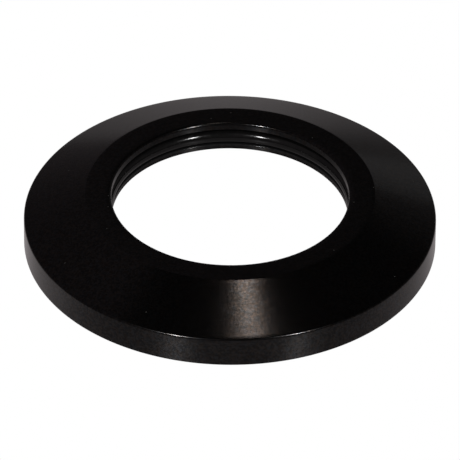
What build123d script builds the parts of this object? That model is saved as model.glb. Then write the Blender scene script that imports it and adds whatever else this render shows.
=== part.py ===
from build123d import *
import os

# Bearing cover of an oversize bottom bracket, in millimetres.
# It slides onto the axle outside the bearing and turns with the axle.
# The bore axis is Z, +Z points at the crank, and the foot of the rim lies on Z = 0.

os.makedirs("parts", exist_ok=True)

# The axle it slides onto, and the inner race of the bearing that it bears on
axle_d = 30.0
race_face_w = 2.55

# Outside of the cover
cover_d = 52.5
rim_h = 3.95
cone_rise = 3.55
land_w = 3.33

# Bore wall, from the land downwards, and the O-ring that grips the axle
upper_lip_t = 1.03
lower_lip_t = 0.72
ring_section_d = 1.78
ring_grip = 0.12

# Hollow underside
rim_t = 3.0
shoulder_w = 0.8
relief_depth = 0.8

# Clearances
axle_play = 0.05
upper_lip_relief = 0.05
ring_top_play = 0.42
ring_rest_play = 0.03
ring_back_play = 0.03

# Broken edges
rim_round = 0.35
land_round = 0.15
bore_round = 0.35
lip_round = 0.1
groove_floor_round = 0.15
foot_round = 0.2
race_face_round = 0.15
recess_mouth_round = 0.3
recess_corner_round = 0.2

# Derived sizes
cover_h = rim_h + cone_rise
cover_r = cover_d / 2
lower_bore_r = axle_d / 2 + axle_play
upper_bore_r = lower_bore_r + upper_lip_relief
land_r = upper_bore_r + land_w
ring_inside_r = axle_d / 2 - ring_grip
ring_centre_r = ring_inside_r + ring_section_d / 2
groove_floor_r = ring_inside_r + ring_section_d + ring_back_play
groove_top_h = cover_h - upper_lip_t
ring_centre_h = groove_top_h - ring_top_play - ring_section_d / 2
groove_bottom_h = ring_centre_h - ring_section_d / 2 - ring_rest_play
race_face_h = groove_bottom_h - lower_lip_t
race_face_r = lower_bore_r + race_face_w
recess_r = cover_r - rim_t
relief_r = recess_r - shoulder_w
relief_top_h = race_face_h + relief_depth

# Half section of the cover, as (radius, height), from the foot of the rim upwards and round
foot_outer = (cover_r, 0)
rim_top = (cover_r, rim_h)
land_outer = (land_r, cover_h)
bore_mouth = (upper_bore_r, cover_h)
upper_lip_edge = (upper_bore_r, groove_top_h)
groove_floor_top = (groove_floor_r, groove_top_h)
groove_floor_bottom = (groove_floor_r, groove_bottom_h)
lower_lip_edge = (lower_bore_r, groove_bottom_h)
bore_foot = (lower_bore_r, race_face_h)
race_face_edge = (race_face_r, race_face_h)
relief_inner = (race_face_r, relief_top_h)
relief_outer = (relief_r, relief_top_h)
relief_edge = (relief_r, race_face_h)
recess_corner = (recess_r, race_face_h)
recess_mouth = (recess_r, 0)


def corner(profile, point):
    """The corner of a profile that lies on a (radius, height) point."""
    return profile.vertices().sort_by_distance((point[0], point[1], 0))[0]


# 1. Cover shell: rim, cone, land, bore with its ring groove, and the hollow underside
with BuildPart() as cover_shell:
    with BuildSketch(Plane.XZ) as half_section:
        with BuildLine():
            Polyline(
                foot_outer,
                rim_top,
                land_outer,
                bore_mouth,
                upper_lip_edge,
                groove_floor_top,
                groove_floor_bottom,
                lower_lip_edge,
                bore_foot,
                race_face_edge,
                relief_inner,
                relief_outer,
                relief_edge,
                recess_corner,
                recess_mouth,
                close=True,
            )
        make_face()
        # edges that are touched or seen
        fillet(corner(half_section, rim_top), rim_round)
        fillet(corner(half_section, land_outer), land_round)
        fillet(corner(half_section, bore_mouth), bore_round)
        fillet(corner(half_section, foot_outer), foot_round)
        # lips and floor of the ring groove
        fillet(corner(half_section, upper_lip_edge), lip_round)
        fillet(corner(half_section, groove_floor_top), groove_floor_round)
        fillet(corner(half_section, groove_floor_bottom), groove_floor_round)
        fillet(corner(half_section, lower_lip_edge), lip_round)
        fillet(corner(half_section, bore_foot), lip_round)
        # race face, relief over the bearing seal, and recess for the nose of the cup
        fillet(corner(half_section, race_face_edge), race_face_round)
        fillet(corner(half_section, relief_inner), recess_corner_round)
        fillet(corner(half_section, relief_outer), recess_corner_round)
        fillet(corner(half_section, relief_edge), race_face_round)
        fillet(corner(half_section, recess_corner), recess_corner_round)
        fillet(corner(half_section, recess_mouth), recess_mouth_round)
    revolve(axis=Axis.Z)

# 2. O-ring: a round-section rubber ring, standing a little proud of the bore wall
with BuildPart() as axle_o_ring:
    with BuildSketch(Plane.XZ):
        with Locations((ring_centre_r, ring_centre_h)):
            Circle(ring_section_d / 2)
    revolve(axis=Axis.Z)

cover_shell.part.label = "cover_shell"
axle_o_ring.part.label = "axle_o_ring"

export_step(cover_shell.part, "parts/cover_shell.step")
export_step(axle_o_ring.part, "parts/axle_o_ring.step")
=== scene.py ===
import math

import bmesh
import bpy
from mathutils import Matrix, Vector


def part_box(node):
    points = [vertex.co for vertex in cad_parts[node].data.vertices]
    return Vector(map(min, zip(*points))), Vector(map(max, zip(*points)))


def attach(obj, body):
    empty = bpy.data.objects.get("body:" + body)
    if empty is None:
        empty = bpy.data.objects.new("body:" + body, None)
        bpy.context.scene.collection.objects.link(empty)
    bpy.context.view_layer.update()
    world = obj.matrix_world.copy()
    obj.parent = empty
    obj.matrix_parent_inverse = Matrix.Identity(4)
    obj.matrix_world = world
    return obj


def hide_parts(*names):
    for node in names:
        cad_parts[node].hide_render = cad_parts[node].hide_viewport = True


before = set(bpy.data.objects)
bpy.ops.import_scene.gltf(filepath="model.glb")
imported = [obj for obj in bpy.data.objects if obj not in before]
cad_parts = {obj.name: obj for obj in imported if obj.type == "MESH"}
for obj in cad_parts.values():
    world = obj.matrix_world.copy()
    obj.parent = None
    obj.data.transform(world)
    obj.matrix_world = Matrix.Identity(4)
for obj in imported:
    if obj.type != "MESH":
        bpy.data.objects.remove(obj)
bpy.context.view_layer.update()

# Bearing cover of an oversize bottom bracket: a black anodised aluminium cover, turned in a
# lathe, with a rubber O-ring in the groove of its bore. Every shape here is in millimetres
# until it becomes a mesh; the bore axis is Z and the foot of the rim stands on Z = 0.

MM = 0.001
shell_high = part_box("cover_shell")[1]
ring_low, ring_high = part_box("axle_o_ring")

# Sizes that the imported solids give
COVER_R = shell_high.x / MM
COVER_H = shell_high.z / MM
RING_SECTION_R = (ring_high.z - ring_low.z) / 2 / MM
RING_CENTRE_H = (ring_high.z + ring_low.z) / 2 / MM
RING_CENTRE_R = ring_high.x / MM - RING_SECTION_R

# Sizes of the turned shape, the same as in the part's source
RIM_H = 3.95
LAND_R = 18.43
UPPER_BORE_R = 15.1
LOWER_BORE_R = 15.05
GROOVE_TOP_H = 6.47
GROOVE_BOTTOM_H = 4.24
GROOVE_FLOOR_R = 16.69
RACE_FACE_H = 3.52
RACE_FACE_R = 17.6
RELIEF_R = 22.45
RELIEF_TOP_H = 4.32
RECESS_R = 23.25

# Broken edges, the same as in the part's source
RIM_ROUND = 0.35
LAND_ROUND = 0.15
BORE_ROUND = 0.35
LIP_ROUND = 0.1
GROOVE_FLOOR_ROUND = 0.15
FOOT_ROUND = 0.2
RACE_FACE_ROUND = 0.15
RECESS_MOUTH_ROUND = 0.3
RECESS_CORNER_ROUND = 0.2

# Tool chatter along the rounded bore mouth: waves round the bore, half their depth in mm, and
# where they start in radians
CHATTER = [(118, 0.0024, 0.4), (171, 0.0018, 2.1), (67, 0.0018, 4.0), (149, 0.0011, 1.1)]
CHATTER_SLANT = 0.7                 # share of the depth that goes outwards, and the same down

# How finely the lathe shapes are made
AROUND = 450                        # stretches round the axis
RING_POINTS = 48                    # points round the section of the O-ring
FLAT_STEP = 0.5                     # longest stretch along a straight side, mm
# degrees in one stretch of a rounding, by the kind of edge
ARC_STEP = {"seen": 7.0, "chattered": 7.0, "hidden": 15.0}


# ---------------------------------------------------------------- lathe work

def rounded_corner(before, here, after, radius, step):
    """Points of the arc that rounds a corner of a section, from the first side to the second."""
    a = (before - here).normalized()
    b = (after - here).normalized()
    opening = math.acos(max(-1.0, min(1.0, a.dot(b))))
    reach = radius / math.tan(opening / 2)
    centre = here + (a + b).normalized() * (radius / math.sin(opening / 2))
    start = here + a * reach - centre
    turn = math.pi - opening
    side = 1.0 if a.x * b.y - a.y * b.x < 0 else -1.0
    steps = max(3, math.ceil(math.degrees(turn) / step))
    return [centre + Matrix.Rotation(side * turn * i / steps, 2) @ start
            for i in range(steps + 1)]


def section(corners):
    """Closed half section from (radius, height, rounding, kind) corners: (point, kind) pairs."""
    at = [Vector(corner[:2]) for corner in corners]
    arcs = []
    for i, (_, _, rounding, kind) in enumerate(corners):
        arc = rounded_corner(at[i - 1], at[i], at[(i + 1) % len(at)], rounding, ARC_STEP[kind])
        arcs.append([(point, kind) for point in arc])
    line = []
    for arc, next_arc in zip(arcs, arcs[1:] + arcs[:1]):
        line += arc
        start, end = arc[-1][0], next_arc[0][0]
        cuts = math.ceil((end - start).length / FLAT_STEP)
        line += [(start.lerp(end, k / cuts), "seen") for k in range(1, cuts)]
    return line


def tool_chatter(angle):
    """How deep the trembling tool cut into the bore mouth at this angle, in mm."""
    return sum(size * (1 + math.sin(waves * angle + start)) for waves, size, start in CHATTER)


def turned(name, line):
    """A body of revolution from the (point, kind) pairs of a closed section."""
    bm = bmesh.new()
    rings = []
    for j in range(AROUND):
        angle = 2 * math.pi * j / AROUND
        c, s = math.cos(angle), math.sin(angle)
        cut = CHATTER_SLANT * tool_chatter(angle)
        ring = []
        for (r, z), kind in line:
            if kind == "chattered":
                r, z = r + cut, z - cut
            ring.append(bm.verts.new((r * c * MM, r * s * MM, z * MM)))
        rings.append(ring)
    for ring, next_ring in zip(rings, rings[1:] + rings[:1]):
        for i in range(len(line)):
            k = (i + 1) % len(line)
            bm.faces.new((ring[i], ring[k], next_ring[k], next_ring[i])).smooth = True
    bmesh.ops.recalc_face_normals(bm, faces=bm.faces)
    mesh = bpy.data.meshes.new(name)
    bm.to_mesh(mesh)
    bm.free()
    piece = bpy.data.objects.new(name, mesh)
    bpy.context.scene.collection.objects.link(piece)
    # the straight sides keep their own normals, and only the roundings bend the light
    even = piece.modifiers.new("even_normals", "WEIGHTED_NORMAL")
    even.weight = 100
    return piece


# ---------------------------------------------------------------- the two pieces

# Section of the cover from the foot of the rim upwards: radius, height, rounding, kind of edge
cover_corners = [
    (COVER_R, 0.0, FOOT_ROUND, "seen"),
    (COVER_R, RIM_H, RIM_ROUND, "seen"),
    (LAND_R, COVER_H, LAND_ROUND, "seen"),
    (UPPER_BORE_R, COVER_H, BORE_ROUND, "chattered"),
    (UPPER_BORE_R, GROOVE_TOP_H, LIP_ROUND, "seen"),
    (GROOVE_FLOOR_R, GROOVE_TOP_H, GROOVE_FLOOR_ROUND, "hidden"),
    (GROOVE_FLOOR_R, GROOVE_BOTTOM_H, GROOVE_FLOOR_ROUND, "hidden"),
    (LOWER_BORE_R, GROOVE_BOTTOM_H, LIP_ROUND, "seen"),
    (LOWER_BORE_R, RACE_FACE_H, LIP_ROUND, "seen"),
    (RACE_FACE_R, RACE_FACE_H, RACE_FACE_ROUND, "hidden"),
    (RACE_FACE_R, RELIEF_TOP_H, RECESS_CORNER_ROUND, "hidden"),
    (RELIEF_R, RELIEF_TOP_H, RECESS_CORNER_ROUND, "hidden"),
    (RELIEF_R, RACE_FACE_H, RACE_FACE_ROUND, "hidden"),
    (RECESS_R, RACE_FACE_H, RECESS_CORNER_ROUND, "hidden"),
    (RECESS_R, 0.0, RECESS_MOUTH_ROUND, "hidden"),
]
cover = turned("anodised_cover", section(cover_corners))

ring_angles = [2 * math.pi * i / RING_POINTS for i in range(RING_POINTS)]
ring_points = [Vector((RING_CENTRE_R + RING_SECTION_R * math.cos(a),
                       RING_CENTRE_H + RING_SECTION_R * math.sin(a))) for a in ring_angles]
o_ring = turned("bore_o_ring", [(point, "seen") for point in ring_points])


# ---------------------------------------------------------------- node helpers

def feed(tree, socket, value):
    """Give an input its value: an output socket to link, or a plain value to hold."""
    if isinstance(value, bpy.types.NodeSocket):
        tree.links.new(value, socket)
    else:
        socket.default_value = value


def maths(tree, operation, *values):
    """One Math node; each value is a number or an output socket."""
    node = tree.nodes.new("ShaderNodeMath")
    node.operation = operation
    for slot, value in enumerate(values):
        feed(tree, node.inputs[slot], value)
    return node.outputs[0]


def eased(tree, value, low, high, to_low=0.0, to_high=1.0):
    """Smooth step of a value from to_low at low to to_high at high."""
    node = tree.nodes.new("ShaderNodeMapRange")
    node.interpolation_type = "SMOOTHSTEP"
    for label, number in (("Value", value), ("From Min", low), ("From Max", high),
                          ("To Min", to_low), ("To Max", to_high)):
        feed(tree, node.inputs[label], number)
    return node.outputs["Result"]


def pick_between(tree, factor, a, b):
    """Plain number between a and b; each is a number or an output socket."""
    node = tree.nodes.new("ShaderNodeMix")
    for slot, value in ((0, factor), (2, a), (3, b)):
        feed(tree, node.inputs[slot], value)
    return node.outputs[0]


def blend_colours(tree, factor, a, b):
    """Mix of two colours; a and b are (red, green, blue) or output sockets."""
    node = tree.nodes.new("ShaderNodeMix")
    node.data_type = "RGBA"
    feed(tree, node.inputs[0], factor)
    for slot, colour in ((6, a), (7, b)):
        feed(tree, node.inputs[slot], (*colour, 1.0) if isinstance(colour, tuple) else colour)
    return node.outputs[2]


def scaled(tree, vector, size):
    """A vector or colour multiplied by a number."""
    node = tree.nodes.new("ShaderNodeVectorMath")
    node.operation = "SCALE"
    tree.links.new(vector, node.inputs[0])
    feed(tree, node.inputs["Scale"], size)
    return node.outputs[0]


def apart(tree, vector):
    """The three parts of a vector."""
    node = tree.nodes.new("ShaderNodeSeparateXYZ")
    tree.links.new(vector, node.inputs[0])
    return node.outputs


def millimetres(tree):
    """Place on the piece in millimetres."""
    place = tree.nodes.new("ShaderNodeTexCoord")
    return scaled(tree, place.outputs["Object"], 1 / MM)


def radius_and_height(tree):
    """Distance from the bore axis, height over the foot, and the unit direction round the axis."""
    x, y, z = apart(tree, millimetres(tree))
    radius = maths(tree, "SQRT", maths(tree, "MULTIPLY_ADD", x, x, maths(tree, "MULTIPLY", y, y)))
    return radius, z, maths(tree, "DIVIDE", x, radius), maths(tree, "DIVIDE", y, radius)


def noise(tree, where, scale, detail):
    """Noise node at a place; its Fac is between 0 and 1."""
    node = tree.nodes.new("ShaderNodeTexNoise")
    node.inputs["Detail"].default_value = detail
    tree.links.new(where, node.inputs["Vector"])
    feed(tree, node.inputs["Scale"], scale)
    return node


def cells(tree, where, scale, dimensions):
    """Cells round scattered points: a random number for each cell, and the distance to its point."""
    node = tree.nodes.new("ShaderNodeTexVoronoi")
    node.voronoi_dimensions = dimensions
    tree.links.new(where, node.inputs["Vector"])
    feed(tree, node.inputs["Scale"], scale)
    colour = tree.nodes.new("ShaderNodeSeparateColor")
    tree.links.new(node.outputs["Color"], colour.inputs[0])
    return colour.outputs[0], node.outputs["Distance"]


def effect(name, takes, gives):
    """Empty node group of plain numbers: its tree, its inputs (name, default) and its outputs."""
    tree = bpy.data.node_groups.new(name, "ShaderNodeTree")
    for label, value in takes:
        socket = tree.interface.new_socket(label, in_out="INPUT", socket_type="NodeSocketFloat")
        socket.default_value = value
    for label in gives:
        tree.interface.new_socket(label, in_out="OUTPUT", socket_type="NodeSocketFloat")
    return tree, tree.nodes.new("NodeGroupInput").outputs, tree.nodes.new("NodeGroupOutput").inputs


def placed(tree, group, **values):
    """A node group placed in a material, with its own values."""
    node = tree.nodes.new("ShaderNodeGroup")
    node.node_tree = group
    for label, value in values.items():
        node.inputs[label.replace("_", " ")].default_value = value
    return node.outputs


# ---------------------------------------------------------------- shared effects

NOISE_LOW, NOISE_HIGH = 0.3, 0.7    # most values of a noise lie between these two
DRIFT_RATE = 0.45                   # how often the tint drifts, against the grain's own rate
PATCHES_PER_MM = 0.9                # patches of wear along an edge
PATCH_FRINGE = 0.12                 # how softly a patch of wear ends
LEVEL_ENOUGH = 0.5                  # upward part of the normal on which dust stays lying


def make_fine_grain():
    """Fine grain of an etched or moulded skin, with glittering points and a slow drift of tint."""
    tree, takes, gives = effect(
        "fine_grain", [("Grain Size", 0.2)], ["Height", "Glitter", "Drift"])
    where = millimetres(tree)
    grains_per_mm = maths(tree, "DIVIDE", 1.0, takes["Grain Size"])
    tree.links.new(noise(tree, where, grains_per_mm, 2.0).outputs["Fac"], gives["Height"])
    glitter, _ = cells(tree, where, grains_per_mm, "3D")
    tree.links.new(glitter, gives["Glitter"])
    slow = noise(tree, where, maths(tree, "MULTIPLY", grains_per_mm, DRIFT_RATE), 2.0)
    tree.links.new(eased(tree, slow.outputs["Fac"], NOISE_LOW, NOISE_HIGH), gives["Drift"])
    return tree


def make_turning_marks():
    """Rings left by a lathe tool or by a mould that was turned."""
    tree, takes, gives = effect("turning_marks", [("Pitch", 0.12), ("Waver", 1.5)], ["Height"])
    radius, height, cos_a, sin_a = radius_and_height(tree)
    spot = tree.nodes.new("ShaderNodeCombineXYZ")
    tree.links.new(maths(tree, "MULTIPLY", cos_a, takes["Waver"]), spot.inputs[0])
    tree.links.new(maths(tree, "MULTIPLY", sin_a, takes["Waver"]), spot.inputs[1])
    tree.links.new(maths(tree, "DIVIDE", radius, takes["Pitch"]), spot.inputs[2])
    marks = noise(tree, spot.outputs[0], 1.0, 1.0)
    marks.noise_dimensions = "4D"
    tree.links.new(maths(tree, "DIVIDE", height, takes["Pitch"]), marks.inputs["W"])
    tree.links.new(marks.outputs["Fac"], gives["Height"])
    return tree


def make_wear_and_gap_band():
    """Patches along one turned edge: wear, and with full cover the band of painted light on the
    lower lip.
    """
    tree, takes, gives = effect(
        "wear_and_gap_band",
        [("Edge Radius", 20.0), ("Edge Height", 4.0), ("Reach", 0.3), ("Cover", 0.5)], ["Mask"])
    radius, height, _, _ = radius_and_height(tree)
    out_by = maths(tree, "SUBTRACT", radius, takes["Edge Radius"])
    up_by = maths(tree, "SUBTRACT", height, takes["Edge Height"])
    up_squared = maths(tree, "MULTIPLY", up_by, up_by)
    away = maths(tree, "SQRT", maths(tree, "MULTIPLY_ADD", out_by, out_by, up_squared))
    near = maths(tree, "SUBTRACT", 1.0, eased(tree, away, 0.0, takes["Reach"]))
    patches = noise(tree, millimetres(tree), PATCHES_PER_MM, 4.0).outputs["Fac"]
    kept = maths(tree, "SUBTRACT", 1.0, takes["Cover"])
    rubbed = eased(tree, patches, kept, maths(tree, "ADD", kept, PATCH_FRINGE))
    tree.links.new(maths(tree, "MULTIPLY", near, rubbed), gives["Mask"])
    return tree


def make_dust_specks():
    """A few specks of dust lying on what faces up."""
    tree, takes, gives = effect(
        "dust_specks", [("Spacing", 2.5), ("Speck Size", 0.05), ("Share", 0.1)], ["Mask"])
    specks_per_mm = maths(tree, "DIVIDE", 1.0, takes["Spacing"])
    draw, distance = cells(tree, millimetres(tree), specks_per_mm, "2D")
    chosen = maths(tree, "LESS_THAN", draw, takes["Share"])
    reach = maths(tree, "DIVIDE", takes["Speck Size"], takes["Spacing"])
    inside = maths(tree, "LESS_THAN", distance, reach)
    skin = tree.nodes.new("ShaderNodeNewGeometry")
    level = maths(tree, "GREATER_THAN", apart(tree, skin.outputs["Normal"])[2], LEVEL_ENOUGH)
    speck = maths(tree, "MULTIPLY", chosen, inside)
    tree.links.new(maths(tree, "MULTIPLY", level, speck), gives["Mask"])
    return tree


fine_grain = make_fine_grain()
turning_marks = make_turning_marks()
wear_and_gap_band = make_wear_and_gap_band()
dust_specks = make_dust_specks()


# ---------------------------------------------------------------- finishes

def new_finish(name):
    """A new material, with its node tree and its shader."""
    finish = bpy.data.materials.new(name)
    finish.use_nodes = True
    return finish, finish.node_tree, finish.node_tree.nodes["Principled BSDF"]


def bump(tree, shader, *layers):
    """Bump nodes in a row; each layer is a height socket and its depth in millimetres."""
    normal = None
    for height_socket, depth in layers:
        node = tree.nodes.new("ShaderNodeBump")
        node.inputs["Distance"].default_value = depth * MM
        tree.links.new(height_socket, node.inputs["Height"])
        if normal:
            tree.links.new(normal, node.inputs["Normal"])
        normal = node.outputs["Normal"]
    tree.links.new(normal, shader.inputs["Normal"])


def black_anodise():
    """Black dyed anodising on turned aluminium: a dark metal skin with a fine etched grain."""
    cool_black, warm_black = (0.0388, 0.0410, 0.0440), (0.0465, 0.0410, 0.0377)
    # colour of the matt band of painted light that lightens the shaded gap under the O-ring
    bare_metal = (0.30, 0.29, 0.28)
    gap_lightening_film = (0.0105, 0.0105, 0.011)
    lint = (0.07, 0.068, 0.065)
    dull, bright = 0.72, 1.3
    smooth, rough, dust_rougher = 0.14, 0.18, 0.6
    grain_depth, tool_depth = 0.0035, 0.0006
    most_rubbed = 0.25
    finish, tree, shader = new_finish("black_anodised_aluminium")
    grain = placed(tree, fine_grain, Grain_Size=0.2)
    tool = placed(tree, turning_marks, Pitch=0.14, Waver=1.5)
    rim_wear = placed(tree, wear_and_gap_band, Edge_Radius=COVER_R - 0.15, Edge_Height=RIM_H - 0.1,
                      Reach=0.25, Cover=0.42)
    # a matt band of painted light along the edge of the lower lip, which lightens the shaded gap
    # under the O-ring
    gap_band = placed(tree, wear_and_gap_band, Edge_Radius=LOWER_BORE_R + 0.25,
                    Edge_Height=GROOVE_BOTTOM_H, Reach=0.5, Cover=1.0)
    dust = placed(tree, dust_specks, Spacing=2.6, Speck_Size=0.06, Share=0.06)
    dyed = blend_colours(tree, grain["Drift"], cool_black, warm_black)
    glitter = scaled(tree, dyed, eased(tree, grain["Glitter"], 0.0, 1.0, dull, bright))
    worn_thin = maths(tree, "MULTIPLY", rim_wear["Mask"], most_rubbed)
    rubbed = blend_colours(tree, worn_thin, glitter, bare_metal)
    # painted light: the matt band lightens the shaded gap between the O-ring and the lower lip
    gap_lightened = blend_colours(tree, gap_band["Mask"], rubbed, gap_lightening_film)
    dusty = blend_colours(tree, dust["Mask"], gap_lightened, lint)
    tree.links.new(dusty, shader.inputs["Base Color"])
    # dust, and the band of painted light under the O-ring, are not metal
    dust_and_gap_band = maths(tree, "MAXIMUM", dust["Mask"], gap_band["Mask"])
    tree.links.new(maths(tree, "SUBTRACT", 1.0, dust_and_gap_band), shader.inputs["Metallic"])
    roughness = eased(tree, grain["Height"], NOISE_LOW, NOISE_HIGH, smooth, rough)
    more_on_dust = maths(tree, "MULTIPLY", dust["Mask"], dust_rougher)
    tree.links.new(maths(tree, "ADD", roughness, more_on_dust), shader.inputs["Roughness"])
    bump(tree, shader, (grain["Height"], grain_depth), (tool["Height"], tool_depth))
    return finish


def ring_rubber():
    """Black rubber, greased and wiped."""
    cool_rubber, warm_rubber = (0.0045, 0.0044, 0.0046), (0.0065, 0.0062, 0.0060)
    lint = (0.06, 0.058, 0.055)
    smooth, rough = 0.11, 0.17
    grain_depth, mould_depth = 0.0012, 0.0006
    finish, tree, shader = new_finish("o_ring_rubber")
    grain = placed(tree, fine_grain, Grain_Size=0.35)
    mould = placed(tree, turning_marks, Pitch=0.3, Waver=2.0)
    dust = placed(tree, dust_specks, Spacing=2.2, Speck_Size=0.05, Share=0.05)
    rubber = blend_colours(tree, grain["Drift"], cool_rubber, warm_rubber)
    dusty = blend_colours(tree, dust["Mask"], rubber, lint)
    tree.links.new(dusty, shader.inputs["Base Color"])
    roughness = eased(tree, grain["Height"], NOISE_LOW, NOISE_HIGH, smooth, rough)
    tree.links.new(roughness, shader.inputs["Roughness"])
    shader.inputs["IOR"].default_value = 1.5
    bump(tree, shader, (grain["Height"], grain_depth), (mould["Height"], mould_depth))
    return finish


cover.data.materials.append(black_anodise())
o_ring.data.materials.append(ring_rubber())

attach(cover, "root")
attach(o_ring, "root")
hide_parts("cover_shell")
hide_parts("axle_o_ring")


# ---------------------------------------------------------------- studio

def direction(azimuth, elevation):
    """Unit vector towards a place round the cover: azimuth 0 is in front, 90 to the right."""
    a, e = math.radians(azimuth), math.radians(elevation)
    return Vector((math.sin(a) * math.cos(e), -math.cos(a) * math.cos(e), math.sin(e)))


def aimed(thing, azimuth, elevation):
    """Turn a lamp or camera to look back along its direction from the cover."""
    thing.rotation_mode = "QUATERNION"
    thing.rotation_quaternion = (-direction(azimuth, elevation)).to_track_quat("-Z", "Y")


def softbox(name, azimuth, elevation, distance, size, radiance, colour=(1, 1, 1)):
    """Rectangular lamp that faces the cover; size is its width and height in metres."""
    light = bpy.data.lights.new(name, "AREA")
    light.shape = "RECTANGLE"
    light.size, light.size_y = size
    light.energy = radiance * math.pi * size[0] * size[1]
    light.color = colour
    lamp = bpy.data.objects.new(name, light)
    bpy.context.scene.collection.objects.link(lamp)
    lamp.location = direction(azimuth, elevation) * distance
    aimed(lamp, azimuth, elevation)


softbox("key_left", -30.0, 40, 2.5, (0.16, 0.50), 75.0)
softbox("key_right", 38.8, 40, 2.5, (0.16, 0.50), 71.0)
softbox("overhead", 137, 83.3, 1.2, (0.085, 0.085), 11.2, (1.0, 0.87, 0.78))
softbox("side_card", 158, 14, 1.5, (0.30, 0.42), 0.09)

# Floor: white to the eye; what the cover mirrors of it glows as a mid grey table with a soft gloss,
# painted lighter beside the cover than in front of it and further back, with painted shadow under
# the bore
FLOOR_HALF = 3.0                    # metres
FLOOR_Z = -0.02 * MM                # a hair under the foot of the rim
TABLE_TINT = (1.045, 0.962, 0.972, 1)
TABLE_GLOSS, TABLE_ROUGHNESS = 0.056, 0.3
# Glow of the table that the cover mirrors: painted light beside it, less in front and far off, and a
# painted shadow under the bore
BESIDE_LEFT, BESIDE_RIGHT = 0.365, 0.325
IN_FRONT = 0.20
FAR_LEFT, FAR_RIGHT = 0.168, 0.085
PAINTED_SHADOW_UNDER_BORE = 0.14

# Where one brightness of the floor passes into the next, in mm from the bore axis
LEFT_TO_RIGHT = (-20.0, 20.0)
FRONT_TO_BESIDE = (-25.0, -13.0)
FAR_LEFT_TO_RIGHT = (-5.0, 55.0)
CLOSE_TO_FAR = (34.0, 48.0)
BORE_TO_OUTSIDE = (14.0, 18.0)


def painted_table_light(tree):
    """Painted light and shade of the glowing table by place."""
    radius = radius_and_height(tree)[0]
    x, y, _ = apart(tree, millimetres(tree))
    either_side = eased(tree, x, *LEFT_TO_RIGHT, BESIDE_LEFT, BESIDE_RIGHT)
    close_by = eased(tree, y, *FRONT_TO_BESIDE, IN_FRONT, either_side)
    far_off = eased(tree, x, *FAR_LEFT_TO_RIGHT, FAR_LEFT, FAR_RIGHT)
    outside = pick_between(tree, eased(tree, radius, *CLOSE_TO_FAR), close_by, far_off)
    return pick_between(tree, eased(tree, radius, *BORE_TO_OUTSIDE), PAINTED_SHADOW_UNDER_BORE, outside)


def pale_table():
    """Plain white to the camera; to everything else a glowing table with painted light and shade,
    and its gloss.
    """
    finish = bpy.data.materials.new("pale_floor")
    finish.use_nodes = True
    tree = finish.node_tree
    tree.nodes.clear()
    grey = tree.nodes.new("ShaderNodeEmission")
    grey.inputs["Color"].default_value = TABLE_TINT
    # the glow carries the painted light and shade of the table
    tree.links.new(painted_table_light(tree), grey.inputs["Strength"])
    gloss = tree.nodes.new("ShaderNodeBsdfGlossy")
    gloss.inputs["Color"].default_value = (TABLE_GLOSS, TABLE_GLOSS, TABLE_GLOSS, 1)
    gloss.inputs["Roughness"].default_value = TABLE_ROUGHNESS
    mirrored = tree.nodes.new("ShaderNodeAddShader")
    tree.links.new(grey.outputs[0], mirrored.inputs[0])
    tree.links.new(gloss.outputs[0], mirrored.inputs[1])
    white = tree.nodes.new("ShaderNodeEmission")
    path = tree.nodes.new("ShaderNodeLightPath")
    either = tree.nodes.new("ShaderNodeMixShader")
    tree.links.new(path.outputs["Is Camera Ray"], either.inputs[0])
    tree.links.new(mirrored.outputs[0], either.inputs[1])
    tree.links.new(white.outputs[0], either.inputs[2])
    surface = tree.nodes.new("ShaderNodeOutputMaterial")
    tree.links.new(either.outputs[0], surface.inputs["Surface"])
    finish.cycles.emission_sampling = "NONE"
    return finish


def flat_floor():
    """Square floor under the cover, with its table finish."""
    mesh = bpy.data.meshes.new("floor")
    corners = [(x * FLOOR_HALF, y * FLOOR_HALF, FLOOR_Z)
               for x, y in ((-1, -1), (1, -1), (1, 1), (-1, 1))]
    mesh.from_pydata(corners, [], [(0, 1, 2, 3)])
    mesh.materials.append(pale_table())
    square = bpy.data.objects.new("floor", mesh)
    bpy.context.scene.collection.objects.link(square)
    return square


floor = flat_floor()

# Room: dim, lighter to the left under the ceiling, and low down on the right
RIGHT_LOW, RIGHT_HIGH = 0.074, 0.027
LEFT_SIDE, LEFT_BEHIND = 0.083, 0.069
RIGHT_TINT, LEFT_TINT = (1.0, 0.93, 0.93), (1.08, 0.93, 0.98)

# Where one part of the room passes into the next, by the unit direction looked in
LOW_TO_HIGH = (0.35, 0.66)
SIDE_TO_BEHIND = (0.3, 0.8)
CEILING_TO_WALL = (0.95, 0.86)
RIGHT_TO_LEFT = (0.035, -0.035)


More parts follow.
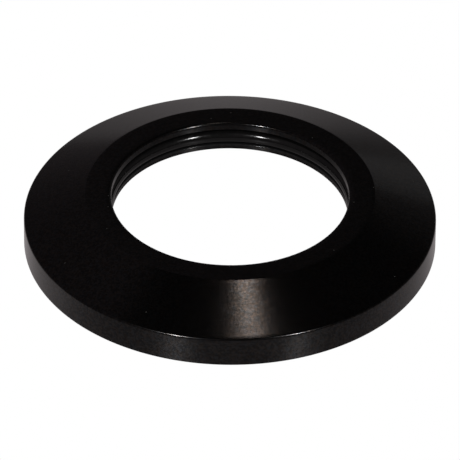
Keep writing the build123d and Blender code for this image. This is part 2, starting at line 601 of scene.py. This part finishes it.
def dim_room():
    """World whose brightness and tint follow the direction looked in."""
    room = bpy.data.worlds.new("room")
    room.use_nodes = True
    tree = room.node_tree
    light = tree.nodes["Background"].inputs
    look = tree.nodes.new("ShaderNodeTexCoord")
    across, back, up = apart(tree, look.outputs["Generated"])
    right_wall = eased(tree, up, *LOW_TO_HIGH, RIGHT_LOW, RIGHT_HIGH)
    left_wall = eased(tree, back, *SIDE_TO_BEHIND, LEFT_SIDE, LEFT_BEHIND)
    under_ceiling = eased(tree, up, *CEILING_TO_WALL)
    on_left = maths(tree, "MULTIPLY", eased(tree, across, *RIGHT_TO_LEFT), under_ceiling)
    tree.links.new(blend_colours(tree, on_left, RIGHT_TINT, LEFT_TINT), light["Color"])
    tree.links.new(pick_between(tree, on_left, right_wall, left_wall), light["Strength"])
    return room


bpy.context.scene.world = dim_room()
bpy.context.scene.view_settings.view_transform = "Standard"

# Camera: a very long lens, 36 degrees above the floor and almost a metre away
VIEW_HEIGHT = 36.424                # degrees above the floor
AWAY = 36.3636                      # in cover radii
SENSOR_W, LENS = 36.0, 586.53       # mm
CLIP_NEAR, CLIP_FAR = 0.05, 20      # metres
PAN, TILT, LEAN = -0.0012, -0.11261, 0.4365     # degrees off the straight look at the rim


def long_lens():
    """Camera in front of the cover, looking down at the top of its rim."""
    data = bpy.data.cameras.new("camera")
    data.sensor_width = SENSOR_W
    data.lens = LENS
    data.clip_start, data.clip_end = CLIP_NEAR, CLIP_FAR
    camera = bpy.data.objects.new("camera", data)
    bpy.context.scene.collection.objects.link(camera)
    rim_top = Vector((0, 0, RIM_H * MM))
    camera.location = rim_top + direction(0, VIEW_HEIGHT) * (AWAY * COVER_R * MM)
    aimed(camera, 0, VIEW_HEIGHT)
    # the cover stands a little above the middle of the view and leans clockwise
    pan, tilt, lean = [Matrix.Rotation(math.radians(angle), 4, axis)
                       for angle, axis in ((PAN, "Y"), (TILT, "X"), (LEAN, "Z"))]
    camera.rotation_quaternion = camera.rotation_quaternion @ (pan @ tilt @ lean).to_quaternion()
    return camera


bpy.context.scene.camera = long_lens()
